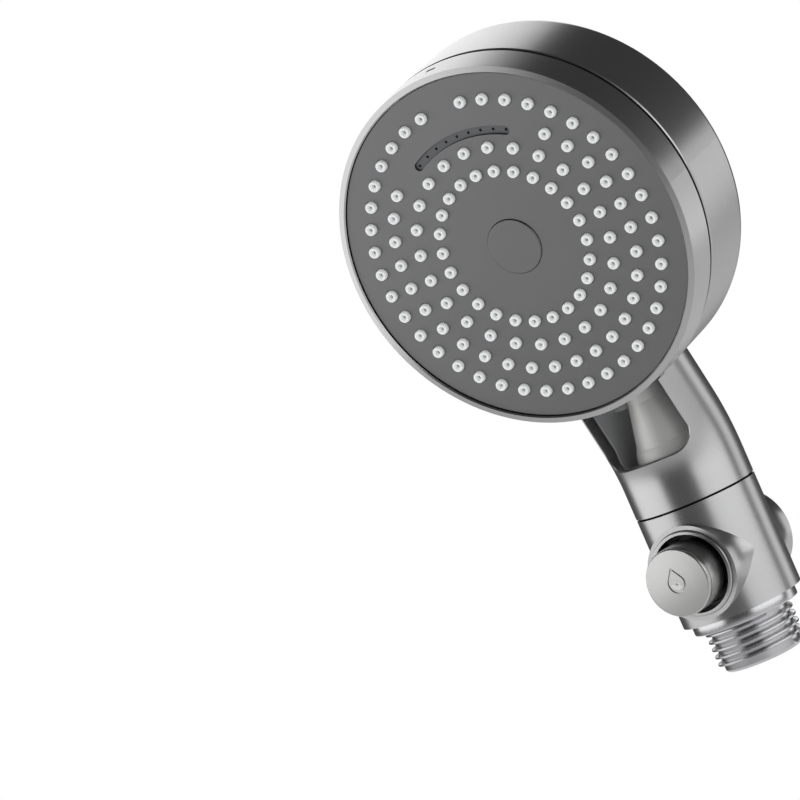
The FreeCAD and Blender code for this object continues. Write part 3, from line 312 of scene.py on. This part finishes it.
plating_or_painted_light_lining = add(neck_plating_painted_light_lining, "ShaderNodeMix", {"data_type": "RGBA"}, Factor=unplated_painted_light_lining.outputs[0])
neck_plating_painted_light_lining.node_tree.links.new(plate_tone, plating_or_painted_light_lining.inputs[6])
# Painted light: this near-white grey lightens the shaded inside of the sleeve, where the plating is also switched
# off.
plating_or_painted_light_lining.inputs[7].default_value = linear("b4b5b7")
connect(neck_plating_painted_light_lining, plating_or_painted_light_lining.outputs[2], shader, "Base Color")
connect(neck_plating_painted_light_lining, plating.outputs[0], shader, "Metallic")
print("neck lining:", len(neck_plating_painted_light_lining.node_tree.nodes), "nodes")

# %% [markdown]
# ## Chrome, steel, rubber and plastics
#
# The hose nipple is turned brass with chrome, a little dulled by its fine machining grain. The
# nozzle mat is a milky silicone that glows a little where light passes
# through. The seals are black nitrile rubber, the waterways a plain black engineering plastic.


# %% Bright and plain finishes
DARKER = 0.93
DULLER, GLOSSIER = 1.15, 0.85


def simple(name, colour, roughness, grain, grain_depth, metallic=0.0, ior=1.5):
    """One colour with a fine grain: bright metal, rubber or moulded plastic."""
    material, shader, place = blank(name)
    speck = add(material, "ShaderNodeTexNoise", Vector=place, Scale=1 / grain, Detail=3.0)
    tone = add(material, "ShaderNodeMix", {"data_type": "RGBA"}, Factor=speck.outputs["Fac"])
    base = linear(colour)
    tone.inputs[6].default_value = [value * DARKER for value in base[:3]] + [1.0]
    tone.inputs[7].default_value = base
    gloss = add(material, "ShaderNodeMapRange", Value=speck.outputs["Fac"])
    gloss.inputs["To Min"].default_value = roughness * GLOSSIER
    gloss.inputs["To Max"].default_value = roughness * DULLER
    bump = add(material, "ShaderNodeBump", Height=speck.outputs["Fac"], Strength=1.0, Distance=grain_depth)
    connect(material, tone.outputs[2], shader, "Base Color")
    connect(material, gloss.outputs["Result"], shader, "Roughness")
    connect(material, bump.outputs["Normal"], shader, "Normal")
    shader.inputs["Metallic"].default_value = metallic
    if not metallic:
        shader.inputs["IOR"].default_value = ior
    return material, shader


chrome, _ = simple("turned_chrome", "c8c8ca", 0.26, 0.4 * MM, 0.0006 * MM, metallic=1.0)
steel, _ = simple("stainless_steel", "c2c1be", 0.25, 0.3 * MM, 0.001 * MM, metallic=1.0)
rubber, _ = simple("nitrile_rubber", "0c0c0d", 0.60, 0.4 * MM, 0.004 * MM, ior=1.52)
waterway, _ = simple("black_acetal", "232325", 0.42, 0.5 * MM, 0.003 * MM, ior=1.48)
grey_abs, _ = simple("moulded_grey_abs", "55565a", 0.45, 0.35 * MM, 0.004 * MM, ior=1.54)
ink, _ = simple("matte_black_inlay", "060607", 0.5, 0.6 * MM, 0.001 * MM, ior=1.54)
silicone, silicone_shader = simple("milky_silicone", "eceeee", 0.36, 0.5 * MM, 0.003 * MM, ior=1.41)
silicone_shader.inputs["Subsurface Weight"].default_value = 0.5
silicone_shader.inputs["Subsurface Radius"].default_value = (0.8, 0.8, 0.8)
silicone_shader.inputs["Subsurface Scale"].default_value = 1.0 * MM

floor_paint, _ = simple("floor_paint", "eeeeee", 0.8, 20 * MM, 0.0, ior=1.45)
floor.data.materials.append(floor_paint)

FINISHES = {
    "gunmetal_plating": gunmetal, "face_metal": face_finish, "satin_silver": satin, "chrome": chrome,
    "clear_silicone": silicone, "black_rubber": rubber, "black_acetal": waterway, "grey_plastic": grey_abs,
    "steel": steel, "steel_mesh": steel, "black_inlay": ink,
}
print("finishes by slot:", len(FINISHES))

# %% [markdown]
# Every piece of the frame names the finish that it was designed with, so one loop paints them
# all. Only stem and neck have a finish of their own; the neck's also carries the painted light
# of its pale lining. The pieces that are made again below take theirs from the same list.

# %% Paint the frame
OWN_FINISH = {"neck_stem": stem_finish, "neck_shell": neck_plating_painted_light_lining}
for part in frame["record"]["subparts"]:
    painted = frame["nodes"][part["node"]]
    painted.data.materials.clear()
    painted.data.materials.append(OWN_FINISH.get(part["node"], FINISHES[part["material_slot"]]))

# %% [markdown]
# ## Tools for shapes
#
# Almost everything on a shower head was turned or moulded round an axis. So one helper turns a
# few profile points into a solid with the spin operator, another rounds the sharp edges, and a
# last one hangs the finished mesh on the body that it moves with.


# %% Turning, rounding and hanging a piece
def turned(outline, steps=128):
    """Spin a closed outline of (radius, height) points, in millimetres, about Z."""
    shape = bmesh.new()
    corners = [shape.verts.new((radius * MM, 0, height * MM)) for radius, height in outline]
    edges = [shape.edges.new((corners[index - 1], corners[index])) for index in range(len(corners))]
    bmesh.ops.spin(shape, geom=corners + edges, cent=(0, 0, 0), axis=(0, 0, 1), angle=math.tau,
                   steps=steps, use_merge=True, use_duplicate=False)
    bmesh.ops.remove_doubles(shape, verts=shape.verts, dist=0.0005 * MM)
    bmesh.ops.delete(shape, geom=[edge for edge in shape.edges if not edge.link_faces], context="EDGES")
    bmesh.ops.recalc_face_normals(shape, faces=shape.faces)
    return shape


def soften(shape, offset, segments=3, sharper_than=25):
    """Round every edge that is sharper than an angle."""
    limit = math.radians(sharper_than)
    sharp = [edge for edge in shape.edges if len(edge.link_faces) == 2 and edge.calc_face_angle() > limit]
    bmesh.ops.bevel(shape, geom=sharp, offset=offset * MM, segments=segments, profile=0.5,
                    affect="EDGES", material=-1, clamp_overlap=True)


SMOOTH_BELOW = math.radians(40)


def hang(shape, name, place, body, slot, node):
    """Turn a shape into a finished piece that stands in for a frame piece."""
    bmesh.ops.transform(shape, matrix=place, verts=shape.verts)
    mesh = bpy.data.meshes.new(name)
    shape.to_mesh(mesh)
    shape.free()
    mesh.polygons.foreach_set("use_smooth", [True] * len(mesh.polygons))
    mesh.set_sharp_from_angle(angle=SMOOTH_BELOW)
    mesh.materials.append(FINISHES[slot])
    piece = bpy.data.objects.new(name, mesh)
    bpy.context.scene.collection.objects.link(piece)
    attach(piece, body)
    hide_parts(node)
    print(name, "has", len(mesh.polygons), "faces")
    return piece


# %% [markdown]
# ## Hose nipple
#
# The hose screws onto a G 1/2 thread: 20.955 mm across, one turn every 1.814 mm. A model for fit
# can use plain rings, but the eye sees at once that rings don't climb. A screw thread is a
# small ridge that is spun about the axis and raised a little at each step, which is exactly what
# the spin operator's dvec does. Its two ends sink into the core, as a cutter's run-out does.

# %% Nipple core
nipple_low, nipple_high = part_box("inlet_nipple")
THREAD_R = 10.478
THREAD_PITCH = 1.814
THREAD_DEPTH = 1.162
THREAD_LENGTH = 10.5
ENTRY = 0.5
SHOULDER_R = nipple_high.x / MM
SHOULDER_TOP = 13.1
BORE_R = 7.6
core_r = THREAD_R - THREAD_DEPTH
nipple = turned([
    (BORE_R, 0), (core_r - ENTRY, 0), (core_r, ENTRY), (core_r, THREAD_LENGTH - 0.3),
    (SHOULDER_R, THREAD_LENGTH), (SHOULDER_R, SHOULDER_TOP), (BORE_R, SHOULDER_TOP)], 160)
soften(nipple, 0.25)
print("shoulder radius:", round(SHOULDER_R, 2), "mm")

# %% Thread ridge
STEPS_PER_TURN = 72
PLAIN_ENDS = 1.6
ROOT_SINK, END_SINK = 0.3, 0.1
turns = (THREAD_LENGTH - PLAIN_ENDS) / THREAD_PITCH
foot, crest = 0.36 * THREAD_PITCH, 0.12 * THREAD_PITCH
start = 0.55 + foot
ridge = bmesh.new()
corners = [ridge.verts.new((radius * MM, 0, (start + height) * MM)) for radius, height in (
    (core_r - ROOT_SINK, -foot), (THREAD_R, -crest), (THREAD_R, crest), (core_r - ROOT_SINK, foot))]
edges = [ridge.edges.new((corners[index - 1], corners[index])) for index in range(4)]
steps = int(turns * STEPS_PER_TURN)
rise = THREAD_PITCH * MM / STEPS_PER_TURN
bmesh.ops.spin(ridge, geom=corners + edges, cent=(0, 0, 0), axis=(0, 0, 1), dvec=(0, 0, rise),
               angle=math.tau * steps / STEPS_PER_TURN, steps=steps, use_merge=False, use_duplicate=False)
ends = [edge for edge in ridge.edges if len(edge.link_faces) == 1]
bmesh.ops.holes_fill(ridge, edges=ends, sides=4)
bmesh.ops.recalc_face_normals(ridge, faces=ridge.faces)
print("ridge turns:", round(turns, 1))

# %% Let the ridge's ends run out
climb = THREAD_PITCH * 0.35
top = start + THREAD_PITCH * steps / STEPS_PER_TURN
end_r = (core_r - END_SINK) * MM
for vertex in ridge.verts:
    radius = math.hypot(vertex.co.x, vertex.co.y)
    height = vertex.co.z / MM
    share = min(1.0, max(0.0, (height - start + foot) / climb), max(0.0, (top + foot - height) / climb))
    if radius > core_r * MM:
        wanted = end_r + (radius - end_r) * share
        vertex.co.x *= wanted / radius
        vertex.co.y *= wanted / radius
ridge_mesh = bpy.data.meshes.new("ridge")
ridge.to_mesh(ridge_mesh)
ridge.free()
nipple.from_mesh(ridge_mesh)
hang(nipple, "hose_nipple", UPRIGHT, "handle", "chrome", "inlet_nipple")

# %% [markdown]
# ## Silicone nozzles
#
# Each jet leaves through a soft nub that a thumb can rub clean. Close up a nub is a short cone
# with a rolled rim and a funnel down its middle. There are well over a hundred, so each one has
# only a few dozen faces. They sit on the same circles as the holes in the face: an
# outer ring with one nub left out at the top, and rings every few millimetres further in.

# %% Where the jets are
face_low, face_high = local_box("face_plate", DRUM)
mat_low, mat_high = local_box("nozzle_mat", DRUM)
slot_low, slot_high = local_box("arc_insert", DRUM)
cap_low, cap_high = local_box("centre_cap", DRUM)
JET_EDGE = 6.0
JET_STEP = 5.65
JET_PITCH = 5.55
NUB_BASE_R = 1.45
SLOT_HALF_WIDTH = 1.0
SLOT_CLEAR = 2.1
slot_r = slot_high.y - SLOT_HALF_WIDTH
slot_half = math.degrees(math.asin((slot_high.x - SLOT_HALF_WIDTH) / slot_r))


def jet_places():
    """x and y of every jet, circle by circle, leaving room for the arc slot at the top."""
    places = []
    outermost = face_high.x - JET_EDGE
    circle = outermost
    while circle > cap_high.x + JET_STEP + NUB_BASE_R:
        count = 8 * round(math.tau * circle / JET_PITCH / 8)
        pitch = 360 / count
        near_slot = abs(circle - slot_r) < SLOT_CLEAR
        room = slot_half + pitch if near_slot else pitch / 2
        broken = near_slot or circle == outermost
        for index in range(count):
            if not broken or abs(index * pitch - 90) > room:
                turn = math.radians(index * pitch)
                places.append((circle * math.cos(turn), circle * math.sin(turn)))
        circle -= JET_STEP
    return places


jets = jet_places()
print(len(jets), "jets, slot radius", round(slot_r, 2), "half angle", round(slot_half, 1))

# %% Mould one nub and repeat it
NUB_OUTLINE = [(0.30, -1.6), (1.38, -1.6), (1.38, -0.95), (1.30, -0.3), (1.16, -0.04), (0.86, 0),
               (0.56, -0.25), (0.30, -0.9)]
NUB_SIDES = 14
nub = turned([(radius, mat_high.z + depth) for radius, depth in NUB_OUTLINE], NUB_SIDES)
nub_mesh = bpy.data.meshes.new("nub")
nub.to_mesh(nub_mesh)
nub.free()
nozzles = bmesh.new()
for x, y in jets:
    before = len(nozzles.verts)
    nozzles.from_mesh(nub_mesh)
    nozzles.verts.ensure_lookup_table()
    bmesh.ops.translate(nozzles, verts=nozzles.verts[before:], vec=(x * MM, y * MM, 0))
hang(nozzles, "silicone_nozzles", DRUM, "spray_head", "clear_silicone", "nozzle_mat")

# %% [markdown]
# ## Start button
#
# The rear push cap is a shallow cup with a face that swells a little, so that a thumb finds its
# middle. A long highlight runs over such a face, and a coarse mesh breaks it up. So the cap is
# turned again, with more points on the swell and on the rounded edge.

# %% Turn the start button
start_low, start_high = local_box("start_cap", VALVE)
BUTTON_R = start_high.x
BUTTON_FACE = -start_low.z
BUTTON_SKIRT = -start_high.z
CROWN = 0.3
EDGE_R = 0.45
SKIRT_WALL = 0.85
INNER_FLOOR = 12.6
GROOVE_BACK = 1.2
GROOVE = 0.25
flat_r = BUTTON_R - EDGE_R
button = [(flat_r * share, BUTTON_FACE - CROWN * share ** 2) for share in (0, 0.2, 0.4, 0.6, 0.8, 1.0)]
for angle in (22.5, 45, 67.5, 90):
    turn = math.radians(angle)
    button.append((flat_r + EDGE_R * math.sin(turn), BUTTON_FACE - CROWN - EDGE_R * (1 - math.cos(turn))))
groove = BUTTON_FACE - CROWN - GROOVE_BACK
for radius, height in ((BUTTON_R, GROOVE / 2), (BUTTON_R - GROOVE, GROOVE / 2),
                       (BUTTON_R - GROOVE, -GROOVE / 2), (BUTTON_R, -GROOVE / 2)):
    button.append((radius, groove + height))
button += [(BUTTON_R, BUTTON_SKIRT), (BUTTON_R - SKIRT_WALL, BUTTON_SKIRT),
           (BUTTON_R - SKIRT_WALL, INNER_FLOOR), (0, INNER_FLOOR)]
cap = turned([(radius, -height) for radius, height in button])
hang(cap, "start_button", VALVE, "stop_spool", "satin_silver", "start_cap")

# %% [markdown]
# ## Seam gasket
#
# A thin rubber washer seals the joint between neck and handle. It shows as a fine dark line,
# set a little back from the metal on either side.

# %% Gasket
GASKET_WIDTH = 1.9
GASKET_EDGE_IN, GASKET_EDGE_UP = 0.25, 0.2
gasket_low, gasket_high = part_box("neck_gasket")
low, high, outer = gasket_low.z / MM, gasket_high.z / MM, gasket_high.x / MM
gasket = turned([
    (outer - GASKET_WIDTH, low), (outer - GASKET_EDGE_IN, low), (outer, low + GASKET_EDGE_UP),
    (outer, high - GASKET_EDGE_UP), (outer - GASKET_EDGE_IN, high), (outer - GASKET_WIDTH, high)], 160)
hang(gasket, "seam_gasket", UPRIGHT, "handle", "black_rubber", "neck_gasket")

# %% [markdown]
# ## Filter screen
#
# Looking into the inlet, a hose washer and a steel screen stop grit. The screen is woven wire, so
# it is made as a real lattice: a grid of squares, trimmed to a circle, turned into wires by the
# wireframe operator, inside a turned rim.

# %% Filter screen
filter_low, filter_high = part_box("inlet_filter")
rim_r = filter_high.x / MM
rim_low, rim_high = filter_low.z / MM, filter_high.z / MM
WIRE_STEP = 0.9
WIRE = 0.16
screen = bmesh.new()
count = int(2 * rim_r / WIRE_STEP)
bmesh.ops.create_grid(screen, x_segments=count, y_segments=count, size=count * WIRE_STEP / 2 * MM)
outside = [face for face in screen.faces
           if max(vertex.co.length for vertex in face.verts) > (rim_r - 0.5) * MM]
bmesh.ops.delete(screen, geom=outside, context="FACES")
bmesh.ops.wireframe(screen, faces=screen.faces, thickness=WIRE * MM, use_boundary=True,
                    use_even_offset=True, use_replace=True)
bmesh.ops.translate(screen, verts=screen.verts, vec=(0, 0, (rim_high - 0.3) * MM))
rim = turned([(rim_r - 1.2, rim_low), (rim_r, rim_low), (rim_r, rim_high), (rim_r - 1.2, rim_high)], 96)
soften(rim, 0.15, 2)
rim_mesh = bpy.data.meshes.new("rim")
rim.to_mesh(rim_mesh)
rim.free()
screen.from_mesh(rim_mesh)
hang(screen, "filter_screen", UPRIGHT, "handle", "steel_mesh", "inlet_filter")
